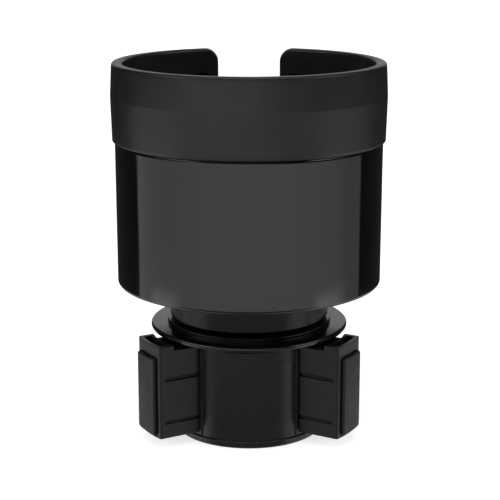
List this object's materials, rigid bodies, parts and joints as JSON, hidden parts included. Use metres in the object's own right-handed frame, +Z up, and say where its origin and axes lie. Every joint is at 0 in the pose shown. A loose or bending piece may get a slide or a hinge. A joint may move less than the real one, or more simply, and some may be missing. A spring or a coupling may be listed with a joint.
{
  "type": "car cup holder expander",
  "caption": "Wide cup with a rubber rim sleeve and a rear handle slot, on a base with padded wings that a dial slides in and out to grip a car's cup holder.",
  "frame": {"origin": "middle of the base plate's underside, on the axis of the cup and the base", "axes": "+Z up along the axis, -Y to the front, +Y to the handle slot and the rear wing, +X to the right seen from the front"},
  "size_m": [0.108, 0.1065, 0.1484],
  "materials": {
    "gloss_black": "polished moulded plastic",
    "sleeve_rubber": "matt soft rubber",
    "neck_black": "satin moulded plastic",
    "dial_black": "polished moulded plastic",
    "base_black": "satin moulded plastic",
    "wing_black": "fine satin moulded plastic",
    "pad_rubber": "matt soft rubber",
    "slip_plastic": "natural slippery plastic",
    "screw_steel": "zinc plated"
  },
  "bodies": {
    "holder": {"cup_shell": "gloss_black", "rubber_sleeve": "sleeve_rubber", "floor_pad": "sleeve_rubber", "cup_screws": "screw_steel", "neck": "neck_black", "neck_bolt": "screw_steel", "neck_washer": "screw_steel", "dial_washer": "slip_plastic", "base_housing": "base_black", "bottom_plate": "base_black", "plate_screws": "screw_steel"},
    "dial": {"dial": "dial_black"},
    "wing_left": {"wing_left": "wing_black", "pad_left": "pad_rubber", "pin_left": "screw_steel"},
    "wing_right": {"wing_right": "wing_black", "pad_right": "pad_rubber", "pin_right": "screw_steel"},
    "wing_rear": {"wing_rear": "wing_black", "pad_rear": "pad_rubber", "pin_rear": "screw_steel"}
  },
  "joints": [
    {"name": "dial_turn", "type": "hinge", "parent": "holder", "child": "dial", "pos_m": [0, 0, 0.0434], "axis": [0, 0, 1], "range_deg": [0, 110]},
    {"name": "wing_left_slide", "type": "slide", "parent": "holder", "child": "wing_left", "axis": [0.866, 0.5, 0], "range_m": [0, 0.01001]},
    {"name": "wing_right_slide", "type": "slide", "parent": "holder", "child": "wing_right", "axis": [-0.866, 0.5, 0], "range_m": [0, 0.01001]},
    {"name": "wing_rear_slide", "type": "slide", "parent": "holder", "child": "wing_rear", "axis": [0, -1, 0], "range_m": [0, 0.01001]}
  ],
  "couplings": [
    {"joint": "wing_left_slide", "follows": "dial_turn", "m_per_rad": 0.0052087},
    {"joint": "wing_right_slide", "follows": "dial_turn", "m_per_rad": 0.0052087},
    {"joint": "wing_rear_slide", "follows": "dial_turn", "m_per_rad": 0.0052087}
  ]
}
